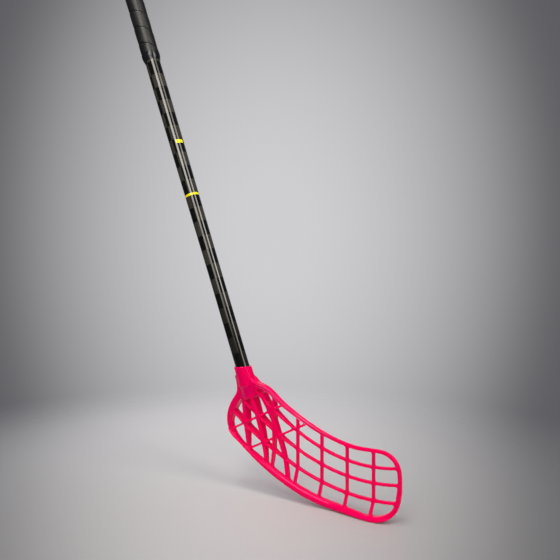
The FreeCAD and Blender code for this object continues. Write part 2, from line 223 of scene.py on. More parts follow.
def sweep_group():
    """Shares of the middle tone and of the room in a direction. With less lift, heights count less."""
    defaults = {"Direction": (0.0, 1.0, 0.0), "Lift": SPOT_LIFT}
    tree, inputs, results = new_group("sweep", defaults, ("Share", "Room"))
    stretch = join(tree, 1.0, 1.0, inputs["Lift"])
    way = reckon_vector(tree, "NORMALIZE", reckon_vector(tree, "MULTIPLY", inputs["Direction"], stretch))
    facing = reckon_vector(tree, "DOT_PRODUCT", way, LOOK)
    share = reckon(tree, "DIVIDE", reckon(tree, "SUBTRACT", facing, SPOT_WIDE), SPOT_NARROW - SPOT_WIDE)
    share = reckon(tree, "SMOOTH_MAX", reckon(tree, "MINIMUM", share, 1.0), 0.0, SPOT_SOFTNESS)
    feed(tree, share, results["Share"])
    feed(tree, ramp(tree, facing, ROOM_END, ROOM_START, 1.0, 0.0), results["Room"])
    return tree


SWEEP = sweep_group()
print("group", SWEEP.name, "has", len(SWEEP.nodes), "nodes")

# %% [markdown]
# ## World
# The world stands for the paper and for the room round it. It shows the sweep's grey to the camera and a
# pale room to other views. The lacquer shows the same sweep, but a dark room round it, as a
# photographer's black flags make it. The light that the world gives is set apart from the grey that it
# shows.

# %% World
SWEEP_MIDDLE = (0.62, 0.615, 0.63, 1)
SWEEP_EDGE = (0.11, 0.11, 0.12, 1)
PALE_ROOM = (0.45, 0.45, 0.46, 1)
DARK_ROOM = (0.022, 0.022, 0.024, 1)
SKY_COLOUR = (0.80, 0.87, 1.0, 1)
SKY_LIGHT = 0.58


def backdrop(tree, sweep, paper, room):
    """Background of paper in front of a room of this colour."""
    colour = blend_colours(tree, sweep["Room"], paper, room)
    return put(tree, "ShaderNodeBackground", {"Color": colour}).outputs[0]


def mix_shaders(tree, share, first, second):
    return put(tree, "ShaderNodeMixShader", {0: share, 1: first, 2: second}).outputs[0]


def sweep_world():
    """World that shows the backdrop and lights the stick evenly."""
    world = bpy.data.worlds.new("studio")
    world.use_nodes = True
    tree = world.node_tree
    tree.nodes.clear()
    direction = put(tree, "ShaderNodeTexCoord").outputs["Generated"]
    sweep = place_group(tree, SWEEP, Direction=direction)
    paper = blend_colours(tree, sweep["Share"], SWEEP_EDGE, SWEEP_MIDDLE)
    seen = backdrop(tree, sweep, paper, PALE_ROOM)
    mirrored = backdrop(tree, sweep, paper, DARK_ROOM)
    light = put(tree, "ShaderNodeBackground", {"Color": SKY_COLOUR, "Strength": SKY_LIGHT}).outputs[0]
    path = put(tree, "ShaderNodeLightPath").outputs
    gloss = reckon(tree, "MAXIMUM", path["Is Glossy Ray"], path["Is Transmission Ray"])
    mixed = mix_shaders(tree, path["Is Camera Ray"], mix_shaders(tree, gloss, light, mirrored), seen)
    put(tree, "ShaderNodeOutputWorld", {"Surface": mixed})
    return world


bpy.context.scene.world = sweep_world()
print("world is", bpy.context.scene.world.name)

# %% [markdown]
# ## Floor
# The floor is a disc of the same paper. A sharp edge or a horizon would cut through the picture, so the disc
# fades out before its edge and lets the world's grey show. Its colour holds painted light: it is brightest
# where the camera looks, darkens to the sides and rises a little to the left and to the back. Its tone rises
# a little to the left and to the back, as the photo's does, and it keeps the stick's shadow.

# %% Floor
FLOOR_RADIUS = 1.4
FLOOR_SIDES = 96
FLOOR_FADE_START = 0.30
FLOOR_FADE_END = 0.86
FLOOR_COLOUR = (0.502, 0.475, 0.465, 1)
FLOOR_SHADE = (0.17, 0.165, 0.165, 1)
FLOOR_SHEEN = {"Roughness": 0.5, "Specular IOR Level": 0.5}
# Painted light on the floor: its level at the camera's foot, its rise for each metre across and away, and its
# upper limit
FLOOR_PAINTED_LIGHT = 0.417
FLOOR_PAINTED_LIGHT_RISE = Vector((-0.80, 0.35, 0))
FLOOR_PAINTED_LIGHT_CAP = 1.5


def floor_finish():
    """Pale paper with painted light and shade, which fades out."""
    material = bpy.data.materials.new("pale_floor")
    material.use_nodes = True
    tree = material.node_tree
    tree.nodes.clear()
    place = object_place(tree)
    gone = ramp(tree, reckon_vector(tree, "LENGTH", place), FLOOR_FADE_START, FLOOR_FADE_END)
    way = reckon_vector(tree, "SUBTRACT", place, camera.location)
    sweep = place_group(tree, SWEEP, Direction=way, Lift=0.0)
    # Painted shade: the sweep's fall-off darkens the floor to the sides
    tone = blend_colours(tree, sweep["Share"], FLOOR_SHADE, FLOOR_COLOUR)
    tone = blend_colours(tree, sweep["Room"], tone, FLOOR_COLOUR)
    # Painted light: the floor gets brighter to the left and to the back
    level = reckon(tree, "ADD", reckon_vector(tree, "DOT_PRODUCT", way, FLOOR_PAINTED_LIGHT_RISE), FLOOR_PAINTED_LIGHT)
    level = reckon(tree, "MINIMUM", level, FLOOR_PAINTED_LIGHT_CAP)
    colour = put(tree, "ShaderNodeVectorMath", {0: tone, "Scale": level}, operation="SCALE").outputs[0]
    paper = put(tree, "ShaderNodeBsdfPrincipled", {"Base Color": colour, **FLOOR_SHEEN}).outputs[0]
    clear = put(tree, "ShaderNodeBsdfTransparent").outputs[0]
    put(tree, "ShaderNodeOutputMaterial", {"Surface": mix_shaders(tree, gone, paper, clear)})
    return material


floor_mesh = bpy.data.meshes.new("floor")
disc = bmesh.new()
bmesh.ops.create_circle(disc, cap_ends=True, segments=FLOOR_SIDES, radius=FLOOR_RADIUS)
disc.to_mesh(floor_mesh)
disc.free()
floor = add_object("floor", floor_mesh)
floor_mesh.materials.append(floor_finish())
print("floor of", FLOOR_RADIUS, "m radius")

# %% [markdown]
# ## Softboxes
# A glossy round shaft shows each lamp as a streak along its length. The photo has a wide cream streak
# just left of the shaft's middle and a thin one to the right, so there are two tall boxes, which lean as
# the shaft does. Their ends are found by mirroring the camera's view in the shaft. The streaks fade along
# the shaft, so each box has its own run of brightness from foot to head. A third box, high above and in
# front, lights the rims and ribs and puts the blade's shadow behind the sole.

# %% Softbox maker
def grade_lamp(lamp, levels):
    """Gives a lamp a run of brightness. Levels are pairs of a share of its length and a brightness."""
    lamp.use_nodes = True
    tree = lamp.node_tree
    spot = split(tree, put(tree, "ShaderNodeNewGeometry").outputs["Parametric"])
    grades = put(tree, "ShaderNodeValToRGB", {0: spot[1]})
    stops = grades.color_ramp.elements
    for stop, (share, level) in zip(stops, (levels[0], levels[-1])):
        stop.position, stop.color = share, (level, level, level, 1)
    for share, level in levels[1:-1]:
        stops.new(share).color = (level, level, level, 1)
    feed(tree, grades.outputs[0], tree.nodes["Emission"].inputs["Strength"])


def softbox(name, foot, head, width, colour, levels):
    """Lamp between two places, in millimetres, that faces the stick."""
    low, high = Vector(foot) * MM, Vector(head) * MM
    middle = (low + high) / 2
    tall = high - low
    lamp = bpy.data.lights.new(name, "AREA")
    lamp.shape = "RECTANGLE"
    lamp.size = width * MM
    lamp.size_y = tall.length
    lamp.energy = math.pi * lamp.size * lamp.size_y
    lamp.color = colour
    grade_lamp(lamp, levels)
    upright = tall.normalized()
    away = middle - MOUTH
    away -= upright * away.dot(upright)
    away.normalize()
    across = upright.cross(away)
    turn = Matrix((across, upright, away)).transposed().to_4x4()
    box = add_object(name, lamp)
    box.matrix_world = Matrix.Translation(middle) @ turn
    print(name, "is", round(lamp.size_y, 2), "m long")


print("a softbox is made by", softbox.__name__, "and graded by", grade_lamp.__name__)

# %% [markdown]
# ## Three boxes
# Each box has the places of its foot and its head, its width, its colour and its run of brightness. The
# two tall ones are slightly cream, and the one above is nearly white.

# %% Softboxes
CREAM = (1, 0.97, 0.90)
WARM_WHITE = (1, 0.99, 0.97)
LEFT_ENDS = ((497, -1411, 553), (180, -875, 1950))
LEFT_WIDTH = 640
LEFT_LEVELS = (
    (0.0, 0.6), (0.076, 1.7), (0.164, 2.9), (0.357, 4.7), (0.484, 7.9), (0.715, 6.7), (1.0, 6.0),
)
RIGHT_ENDS = ((1385, -190, 700), (595, -150, 2080))
RIGHT_WIDTH = 480
RIGHT_LEVELS = (
    (0.03, 3.0), (0.087, 3.4), (0.17, 4.9), (0.25, 7.4), (0.43, 6.0), (0.55, 4.9), (0.69, 3.2), (0.82, 2.2),
    (1.0, 0.2),
)
TOP_ENDS = ((-350, -520, 2600), (250, -520, 2650))
TOP_WIDTH = 700
TOP_LEVELS = ((0.0, 11.4), (1.0, 11.4))
softbox("left_softbox", *LEFT_ENDS, LEFT_WIDTH, CREAM, LEFT_LEVELS)
softbox("right_softbox", *RIGHT_ENDS, RIGHT_WIDTH, CREAM, RIGHT_LEVELS)
softbox("top_softbox", *TOP_ENDS, TOP_WIDTH, WARM_WHITE, TOP_LEVELS)

# %% [markdown]
# ## Shared finishes
# Two materials follow the shaft: its carbon checks and the finishing tape. Both need the same two
# numbers, how far up the shaft a spot is and how far round it, so one group works them out of object
# coordinates. A second group gives every finish the fine unevenness that a mould or a knife leaves, and a
# third draws a stripe.

# %% Shared node groups
GRAIN_DETAIL = 3.0


def around_the_shaft_group():
    """Millimetres above the mouth, and share of a turn round the axis."""
    tree, _, results = new_group("around_the_shaft", {}, ("Along", "Turn"))
    upright = put(tree, "ShaderNodeMapping", {
        "Vector": object_place(tree), "Location": MOUTH, "Rotation": (0, -LEAN, 0),
    }, vector_type="TEXTURE")
    x, y, z = split(tree, upright.outputs[0])
    feed(tree, reckon(tree, "DIVIDE", z, MM), results["Along"])
    angle = reckon(tree, "ARCTAN2", y, x)
    feed(tree, reckon(tree, "MULTIPLY_ADD", angle, 1 / math.tau, 0.5), results["Turn"])
    return tree


def fine_grain_group():
    """Even grain of one size, and a slower drift, both about 0. Sizes are in millimetres."""
    sizes = {"Grain Size": 1.0, "Drift Size": 40.0}
    tree, inputs, results = new_group("fine_grain", sizes, ("Grain", "Drift"))
    place = object_place(tree)
    for label in ("Grain", "Drift"):
        scale = reckon(tree, "DIVIDE", 1 / MM, inputs[f"{label} Size"])
        cloud = put(tree, "ShaderNodeTexNoise", {"Vector": place, "Scale": scale, "Detail": GRAIN_DETAIL})
        feed(tree, reckon(tree, "SUBTRACT", cloud.outputs["Fac"], 0.5), results[label])
    return tree


def stripe_group():
    """1 inside a stripe of this width about a middle, 0 outside, with a soft edge."""
    sizes = {"Value": 0.0, "Middle": 0.0, "Width": 1.0, "Edge": 0.1}
    tree, inputs, results = new_group("stripe", sizes, ("Mask",))
    away = reckon(tree, "ABSOLUTE", reckon(tree, "SUBTRACT", inputs["Value"], inputs["Middle"]))
    inside = reckon(tree, "SUBTRACT", reckon(tree, "MULTIPLY", inputs["Width"], 0.5), away)
    feed(tree, ramp(tree, reckon(tree, "DIVIDE", inside, inputs["Edge"]), -0.5, 0.5), results["Mask"])
    return tree


AROUND = around_the_shaft_group()
GRAIN = fine_grain_group()
STRIPE = stripe_group()
print("groups:", [group.name for group in (AROUND, GRAIN, STRIPE)])

# %% [markdown]
# ## Finish helpers
# Every finish below is one Principled shader. In most of them the colour drifts between two tones. In all
# of them the roughness goes up and down a little and a fine relief breaks the highlights, so each of
# these has a helper. What stays the same all over a surface is set on the shader's own sockets.

# %% Finish helpers
DRIFT_REACH = 0.2


def new_finish(name):
    """Empty material with its Principled shader."""
    material = bpy.data.materials.new(name)
    material.use_nodes = True
    return material, material.node_tree, material.node_tree.nodes["Principled BSDF"]


def two_tone(tree, cloud, first, second, reach=DRIFT_REACH):
    """Colour that drifts from one tone to the other where a cloud rises."""
    return blend_colours(tree, ramp(tree, cloud, -DRIFT_REACH, reach), first, second)


def uneven(tree, cloud, level, spread):
    """This level, with a share of the cloud's ups and downs."""
    return reckon(tree, "MULTIPLY_ADD", cloud, spread, level)


def raise_surface(tree, shader, height, depth):
    """Bump of this depth, in millimetres."""
    bump = put(tree, "ShaderNodeBump", {"Height": height, "Distance": depth * MM, "Strength": 1.0})
    feed(tree, bump.outputs[0], shader.inputs["Normal"])


def set_evenly(shader, values):
    """Sets what stays the same all over a surface."""
    for label, value in values.items():
        shader.inputs[label].default_value = value


FINISH_HELPERS = (new_finish, two_tone, uneven, raise_surface, set_evenly)
print("finish helpers:", [helper.__name__ for helper in FINISH_HELPERS])

# %% [markdown]
# ## Carbon checks
# The shaft's outer layer is a fabric of flat carbon tapes, so it shows checks that are 24 mm long. Where
# the fibres run along the shaft they look black, and where they run round it they look warm grey. The
# sheet is laid round the tube by hand, so its columns are uneven and one seam between them leans.

# %% Carbon checks
CHECK_LENGTH = 23.95
CHECK_START = 20.8
# Seams between columns, as shares of a turn at one height above the mouth, and their lean for each millimetre
SEAM_HEIGHT = 300.0
SEAMS = ((0.068, 0.0), (0.285, -0.000304), (0.590, 0.0), (0.785, 0.0))
# Painted shade: above the socket the grey checks start dark and reach their full tone higher up, as the light
# falls off towards the socket
SOCKET_SHADE_START = 40.0
SOCKET_SHADE_END = 190.0
SOCKET_SHADE_TONE = 0.35
# Lengths in millimetres and widths in turns of the streaks, along the shaft and round it
TOW_STREAK = (40.0, 0.006)
FIBRE_STREAK = (0.35, 0.4)
STREAK_DETAIL = 2.0
GREY_TOW = (0.044, 0.040, 0.031, 1)
GREY_TOW_SHADE = (0.029, 0.026, 0.020, 1)
GREY_RANGE = (0.3, 0.75)
BLACK_TOW = (0.003, 0.003, 0.0025, 1)
BLACK_TOW_SHINE = (0.007, 0.007, 0.006, 1)
BLACK_RANGE = (0.35, 0.8)


def fibre_streaks(tree, along, turn, streak):
    """Noise that is stretched along or round the shaft."""
    length, width = streak
    place = join(tree, reckon(tree, "DIVIDE", along, length), reckon(tree, "DIVIDE", turn, width))
    cloud = put(tree, "ShaderNodeTexNoise", {"Vector": place, "Scale": 1.0, "Detail": STREAK_DETAIL})
    return cloud.outputs["Fac"]


def grey_checks(tree, along, turn):
    """1 on grey checks, darkened near the socket by painted shade, and 0 on black ones."""
    count = reckon(tree, "DIVIDE", reckon(tree, "SUBTRACT", along, CHECK_START), CHECK_LENGTH)
    count = reckon(tree, "FLOOR", count)
    for place, lean in SEAMS:
        seam = reckon(tree, "MULTIPLY_ADD", reckon(tree, "SUBTRACT", along, SEAM_HEIGHT), lean, place)
        count = reckon(tree, "ADD", count, reckon(tree, "GREATER_THAN", turn, seam))
    odd = reckon(tree, "PINGPONG", count, 1.0)
    return reckon(tree, "MULTIPLY", odd, ramp(tree, along, SOCKET_SHADE_START, SOCKET_SHADE_END, SOCKET_SHADE_TONE, 1.0))


def carbon_colour(tree, along, turn, tow):
    """Colour of the checks, with the streaks of their fibres."""
    fibres = fibre_streaks(tree, along, turn, FIBRE_STREAK)
    grey = blend_colours(tree, ramp(tree, tow, *GREY_RANGE), GREY_TOW, GREY_TOW_SHADE)
    black = blend_colours(tree, ramp(tree, fibres, *BLACK_RANGE), BLACK_TOW, BLACK_TOW_SHINE)
    return blend_colours(tree, grey_checks(tree, along, turn), black, grey)


print(len(SEAMS), "seams between columns of checks")

# %% [markdown]
# ## Lacquer and print
# A clear lacquer covers the carbon and gives it all its gloss: the Principled shader's coat does just
# that. The yellow ring and bar are printed under the lacquer, so they only change the colour below it.
# Both are stripes, and the bar is a stripe along the shaft as well as round it.

# %% Lacquer and print
PRINT_YELLOW = (0.86, 0.70, 0.0, 1)
PRINT_EDGE = 0.2
RING_MIDDLE = 282.7
RING_WIDTH = 3.6
BAR_MIDDLE = 375.2
BAR_WIDTH = 6.0
BAR_TURN = 0.425
BAR_TURN_WIDTH = 0.17
BAR_TURN_EDGE = 0.003
CARBON_DRIFT = 30.0
CARBON_ROUGHNESS = 0.30
CARBON_ROUGHNESS_SPREAD = 0.12
TOW_RELIEF = 0.002
LACQUER = {"Specular IOR Level": 0.02, "Coat Weight": 1.0, "Coat IOR": 1.65, "Coat Roughness": 0.04}


def stripe(tree, value, middle, width, edge):
    return place_group(tree, STRIPE, Value=value, Middle=middle, Width=width, Edge=edge)["Mask"]


def printed_marks(tree, along, turn):
    """1 on the ring and the bar."""
    ring = stripe(tree, along, RING_MIDDLE, RING_WIDTH, PRINT_EDGE)
    bar = stripe(tree, along, BAR_MIDDLE, BAR_WIDTH, PRINT_EDGE)
    side = stripe(tree, turn, BAR_TURN, BAR_TURN_WIDTH, BAR_TURN_EDGE)
    return reckon(tree, "MAXIMUM", ring, reckon(tree, "MULTIPLY", bar, side))


def carbon_finish():
    """Lacquered checks with their print."""
    material, tree, shader = new_finish("lacquered_carbon")
    spot = place_group(tree, AROUND)
    along, turn = spot["Along"], spot["Turn"]
    tow = fibre_streaks(tree, along, turn, TOW_STREAK)
    checks = carbon_colour(tree, along, turn, tow)
    colour = blend_colours(tree, printed_marks(tree, along, turn), checks, PRINT_YELLOW)
    feed(tree, colour, shader.inputs["Base Color"])
    grain = place_group(tree, GRAIN, Drift_Size=CARBON_DRIFT)
    roughness = uneven(tree, grain["Drift"], CARBON_ROUGHNESS, CARBON_ROUGHNESS_SPREAD)
    feed(tree, roughness, shader.inputs["Roughness"])
    raise_surface(tree, shader, tow, TOW_RELIEF)
    set_evenly(shader, LACQUER)
    return material


def refinish(name, material):
    """Gives a node of the frame another material."""
    slots = NODES[name].data.materials
    slots.clear()
    slots.append(material)
    print(name, "is finished with", material.name)


refinish("shaft", carbon_finish())

# %% [markdown]
# ## Blade
# The blade is one moulding with an open lattice, so its edges are soft where the tool was rounded. A
# bevel would have to find its way round hundreds of short edges. A voxel remesh of a copy does it better:
# every edge comes out as a small round, and a little smoothing takes the steps off it. Smoothing also
# makes ribs thinner, so the skin is then moved out by a tenth of a millimetre, and the volumes are
# compared.

# %% Blade moulding
BLADE_VOXEL = 0.95 * MM
BLADE_SMOOTHING = 7
BLADE_SMOOTHING_FACTOR = 0.5
BLADE_FILL = 0.10 * MM
MERGE_DISTANCE = 0.01 * MM


def merged_copy(name, node):
    """Copy of a node's mesh with its loose triangles joined."""
    mesh = NODES[node].data.copy()
    mesh.name = name
    work = bmesh.new()
    work.from_mesh(mesh)
    bmesh.ops.remove_doubles(work, verts=work.verts, dist=MERGE_DISTANCE)
    work.to_mesh(mesh)
    work.free()
    return add_object(name, mesh)


def settle(piece):
    """Turns a piece with its modifiers into a plain mesh."""
    bpy.context.view_layer.update()
    result = piece.evaluated_get(bpy.context.evaluated_depsgraph_get())
    mesh = bpy.data.meshes.new_from_object(result)
    mesh.name = piece.name
    piece.modifiers.clear()
    piece.data = mesh


def volume_of(mesh):
    """Cubic millimetres inside a closed mesh."""
    work = bmesh.new()
    work.from_mesh(mesh)
    volume = work.calc_volume() / MM ** 3
    work.free()
    return volume


blade = merged_copy("blade_moulding", "blade")
skin = blade.modifiers.new("moulded_skin", "REMESH")
skin.mode = "VOXEL"
skin.voxel_size = BLADE_VOXEL
skin.use_smooth_shade = True
soft = blade.modifiers.new("soft_edges", "SMOOTH")
soft.factor = BLADE_SMOOTHING_FACTOR
soft.iterations = BLADE_SMOOTHING
fuller = blade.modifiers.new("fuller", "DISPLACE")
fuller.strength = BLADE_FILL
fuller.mid_level = 0.0
solid_volume = volume_of(blade.data)
settle(blade)
print("blade moulding has", round(volume_of(blade.data)), "mm3, the solid", round(solid_volume))

# %% [markdown]
# ## Pink plastic
# The plastic is dyed right through in a hot pink that is close to pure red, and it is slightly see-through,
# so light spreads through the ribs. A faint pink emission is painted light, so even the shaded sides of the
# ribs glow. The finish has a low gloss from a polished tool. Fine grain breaks the reflections, and faint
# dull scuffs on the sole show where the blade stands.

# %% Pink plastic
HOT_PINK = (0.73, 0.0, 0.071, 1)
DEEP_PINK = (0.67, 0.0, 0.077, 1)
PINK_GLOSS = (1.0, 0.11, 0.30, 1)
PINK_GRAIN = 1.1
PINK_DRIFT = 55.0
PINK_ROUGHNESS = 0.16
PINK_ROUGHNESS_SPREAD = 0.10
PINK_RELIEF = 0.02
SCUFF_HEIGHT = 6 * MM
SCUFF_RANGE = (0.0, 0.12)
SCUFF_ROUGHNESS = 0.25
# Painted glow: a faint pink emission that lifts the shaded sides of the ribs
PAINTED_GLOW = (1.0, 0.0, 0.16, 1)
PLASTIC_AND_PAINTED_GLOW = {
    "Specular IOR Level": 0.5, "Specular Tint": PINK_GLOSS, "Subsurface Weight": 1.0,
    "Subsurface Radius": (1.0, 0.10, 0.80), "Subsurface Scale": 8 * MM, "Emission Color": PAINTED_GLOW,
    "Emission Strength": 0.10,
}


def pink_finish(name, light, deep):
    """Dyed plastic between two tones, with a faint painted glow."""
    material, tree, shader = new_finish(name)
    grain = place_group(tree, GRAIN, Grain_Size=PINK_GRAIN, Drift_Size=PINK_DRIFT)
    feed(tree, two_tone(tree, grain["Drift"], light, deep), shader.inputs["Base Color"])
    height = split(tree, object_place(tree))[2]
    near_floor = ramp(tree, height, 0.0, SCUFF_HEIGHT, 1.0, 0.0)
    scuffs = reckon(tree, "MULTIPLY", near_floor, ramp(tree, grain["Grain"], *SCUFF_RANGE))
    roughness = uneven(tree, grain["Drift"], PINK_ROUGHNESS, PINK_ROUGHNESS_SPREAD)
    feed(tree, uneven(tree, scuffs, roughness, SCUFF_ROUGHNESS), shader.inputs["Roughness"])
    raise_surface(tree, shader, grain["Grain"], PINK_RELIEF)
    set_evenly(shader, PLASTIC_AND_PAINTED_GLOW)
    return material


def join_stick(piece, slot, *nodes):
    """The piece rides with the stick and stands for these nodes. Its slot is not used."""
    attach(piece, "root")
    if nodes:
        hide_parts(*nodes)
    print(piece.name, "has", len(piece.data.polygons), "faces")


blade.data.materials.clear()
blade.data.materials.append(pink_finish("pink_plastic", HOT_PINK, DEEP_PINK))
join_stick(blade, "blade", "blade")

# %% [markdown]
# ## Grip strip's section
# The grip is one flat, cushioned strip that the player winds up the shaft. Its section is crowned and its
# edges are rounded, so the seams between its turns show as soft steps. The section is drawn once, as a
# curve, and everything else follows from it.

# %% Section of the grip strip
# Heights over the tube and places across the strip, in millimetres
STRIP_SECTION = (
    (0.10, 0.00), (1.30, 0.00), (1.58, 0.12), (1.76, 0.45), (1.90, 1.60), (2.04, 6.0), (2.20, 13.0),
    (2.32, 20.0), (2.38, 25.0), (2.36, 27.0), (2.24, 28.4), (2.00, 29.5), (1.66, 30.2), (1.25, 30.40),
    (0.10, 30.40),
)


def section_curve(name, points):
    """Closed outline, as a curve that Geometry Nodes can sweep. The sweep turns both of its axes round."""
    data = bpy.data.curves.new(name, "CURVE")
    data.dimensions = "2D"
    data.fill_mode = "NONE"
    line = data.splines.new("POLY")
    line.points.add(len(points) - 1)
    for point, (height, across) in zip(line.points, points):
        point.co = (-height * MM, -across * MM, 0, 1)
    line.use_cyclic_u = True
    return add_object(name, data)


strip_section = section_curve("strip_section", STRIP_SECTION)
print("strip section of", len(STRIP_SECTION), "points")

# %% [markdown]
# ## Winding
# A sweep along a spiral curve can tilt the strip, so that its turns do not lie flat. Geometry Nodes can
# wind it as a player does: a straight strip is drawn from its section, one turn for each unit of its
# length, and then every point is wound by formula. The tree has the strip's sizes as its inputs, so
# another grip is one more call.

# %% Winding tree
def new_geometry_tree(name, sockets):
    """Empty geometry tree with these inputs, by label and kind, and one output."""
    tree = bpy.data.node_groups.new(name, "GeometryNodeTree")
    for label, kind in sockets.items():
        tree.interface.new_socket(label, in_out="INPUT", socket_type=f"NodeSocket{kind}")
    tree.interface.new_socket("Geometry", in_out="OUTPUT", socket_type="NodeSocketGeometry")
    return tree, tree.nodes.new("NodeGroupInput").outputs


def finish_geometry(tree, geometry, finish):
    """Ends a tree: real geometry with a material."""
    real = put(tree, "GeometryNodeRealizeInstances", {0: geometry}).outputs[0]
    dressed = put(tree, "GeometryNodeSetMaterial", {"Geometry": real, "Material": finish}).outputs[0]
    tree.links.new(dressed, tree.nodes.new("NodeGroupOutput").inputs[0])


def winding_tree():
    """Draws a straight strip and winds it up a tube, to the left."""
    tree, inputs = new_geometry_tree("wound_strip", {
        "Section": "Object", "Turns": "Float", "Pitch": "Float", "Radius": "Float", "First Turn": "Float",
        "Points": "Int", "Finish": "Material",
    })
    line = put(tree, "GeometryNodeCurvePrimitiveLine", {"End": join(tree, inputs["Turns"])})
    line = put(tree, "GeometryNodeResampleCurve", {"Curve": line.outputs[0], "Count": inputs["Points"]})
    line = put(tree, "GeometryNodeSetCurveNormal", {"Curve": line.outputs[0]}, mode="Z_UP")
    section = put(tree, "GeometryNodeObjectInfo", {"Object": inputs["Section"]})
    strip = put(tree, "GeometryNodeCurveToMesh", {
        "Curve": line.outputs[0], "Profile Curve": section.outputs["Geometry"], "Fill Caps": True,
    })
    turns, height, across = split(tree, put(tree, "GeometryNodeInputPosition").outputs[0])
    angle = reckon(tree, "MULTIPLY_ADD", turns, -math.tau, inputs["First Turn"])
    radius = reckon(tree, "ADD", inputs["Radius"], height)
    wound = join(
        tree,
        reckon(tree, "MULTIPLY", radius, reckon(tree, "COSINE", angle)),
        reckon(tree, "MULTIPLY", radius, reckon(tree, "SINE", angle)),
        reckon(tree, "MULTIPLY_ADD", turns, inputs["Pitch"], across),
    )
    strip = put(tree, "GeometryNodeSetPosition", {"Geometry": strip.outputs[0], "Position": wound})
    finish_geometry(tree, strip.outputs[0], inputs["Finish"])
    return tree


def grow(name, tree, **values):
    """New mesh object that one tree makes, with these inputs."""
    piece = add_object(name, bpy.data.meshes.new(name))
    modifier = piece.modifiers.new("growth", "NODES")
    modifier.node_group = tree
    for item in tree.interface.items_tree:
        label = item.name.replace(" ", "_")
        if item.in_out == "INPUT" and label in values:
            modifier[item.identifier] = values[label]
    settle(piece)
    return piece


WINDING = winding_tree()
print("winding tree has", len(WINDING.nodes), "nodes")

# %% [markdown]
# ## Grip strip's finish
# The strip is foamed polyurethane with a matte, slightly tacky skin. It is nearly black and shows one broad,
# soft highlight. Small pores and a faint stretch grain keep it from looking like bare plastic, and the pores
# are darker, as painted shade in their hollows.

# %% Grip strip's finish
STRIP_BLACK = (0.006, 0.006, 0.0055, 1)
STRIP_WORN = (0.011, 0.0108, 0.010, 1)
STRIP_WORN_REACH = 0.25
# Painted shade: the pores are darker than the skin, as shade in their hollows
PORE_SHADE = (0.003, 0.003, 0.003, 1)
PORE_SIZE = 1.3
PORE_RANGE = (0.12, 0.42)
STRIP_GRAIN = 0.5
STRIP_DRIFT = 25.0
STRIP_ROUGHNESS = 0.42
STRIP_ROUGHNESS_SPREAD = 0.2
STRIP_RELIEF = 0.007
STRIP_GRAIN_SHARE = 0.4


def strip_finish():
    """Matte foam with pores."""
    material, tree, shader = new_finish("grip_strip")
    cells = put(tree, "ShaderNodeTexVoronoi", {"Vector": object_place(tree), "Scale": 1 / (PORE_SIZE * MM)})
    pores = ramp(tree, cells.outputs["Distance"], *PORE_RANGE)
    grain = place_group(tree, GRAIN, Grain_Size=STRIP_GRAIN, Drift_Size=STRIP_DRIFT)
    colour = two_tone(tree, grain["Drift"], STRIP_BLACK, STRIP_WORN, STRIP_WORN_REACH)
    feed(tree, blend_colours(tree, pores, PORE_SHADE, colour), shader.inputs["Base Color"])
    roughness = uneven(tree, grain["Drift"], STRIP_ROUGHNESS, STRIP_ROUGHNESS_SPREAD)
    feed(tree, roughness, shader.inputs["Roughness"])
    raise_surface(tree, shader, uneven(tree, grain["Grain"], pores, STRIP_GRAIN_SHARE), STRIP_RELIEF)
    return material


STRIP_FINISH = strip_finish()
print("strip is finished with", STRIP_FINISH.name)

# %% [markdown]
# ## Grip strip
# The strip is wound a turn too far at both ends and then cut square, as a maker does with a knife. The
# cuts are closed, because the strip has thickness. It is wound upright at the origin, where the sums are
# simple, and then put in its place on the shaft.

# %% Grip strip
WRAP_START = 541 * MM
WRAP_LENGTH = 333.1 * MM
WRAP_PITCH = 31 * MM
WRAP_TURN = math.radians(143)
SEAT_RADIUS = 12.5 * MM
STEPS_PER_TURN = 96
SPARE_TURNS = 2
STRIP_SHARP_ANGLE = 40


def cut_square(mesh, low, high):
    """Cuts an upright piece square at two heights and closes the cuts."""
    work = bmesh.new()
    work.from_mesh(mesh)
    for height, outward in ((low, -1), (high, 1)):
        parts = work.verts[:] + work.edges[:] + work.faces[:]
        place, normal = (0, 0, height), (0, 0, outward)
        bmesh.ops.bisect_plane(work, geom=parts, plane_co=place, plane_no=normal, clear_outer=True)
        rim = [edge for edge in work.edges if edge.is_boundary]
        bmesh.ops.triangle_fill(work, edges=rim, use_beauty=True)
    bmesh.ops.remove_doubles(work, verts=work.verts, dist=MERGE_DISTANCE)
    bmesh.ops.recalc_face_normals(work, faces=work.faces)
    loose = [edge for edge in work.edges if not edge.is_manifold]
    work.to_mesh(mesh)
    work.free()
    print(mesh.name, "has", len(loose), "open edges after the cut")


def shade_by_angle(mesh, degrees):
    """Smooth faces, with sharp edges where they turn by more than this."""
    mesh.shade_smooth()
    mesh.set_sharp_from_angle(angle=math.radians(degrees))


strip_turns = WRAP_LENGTH / WRAP_PITCH + SPARE_TURNS
grip = grow(
    "grip_strip", WINDING, Section=strip_section, Turns=strip_turns, Pitch=WRAP_PITCH, Radius=SEAT_RADIUS,
    First_Turn=WRAP_TURN, Points=round(strip_turns * STEPS_PER_TURN), Finish=STRIP_FINISH,
)
bpy.data.objects.remove(strip_section)
grip.data.transform(Matrix.Translation((0, 0, -WRAP_PITCH)))
cut_square(grip.data, 0, WRAP_LENGTH)
shade_by_angle(grip.data, STRIP_SHARP_ANGLE)
grip.data.transform(up_the_shaft(WRAP_START))
join_stick(grip, "grip_wrap", "grip_wrap")

# %% [markdown]
# ## Finishing tape
# A short piece of stretched vinyl tape holds the lower end of the strip. It lies on the strip's end and
# narrows to the bare shaft, and it puckers because it is stretched over that step. The band is made as
# rings of points, pushed in and out by smooth noise from a fixed place, with a wavy edge at the top.

# %% Finishing tape's band
TAPE_SIDES = 144
TAPE_WALL = 0.35 * MM
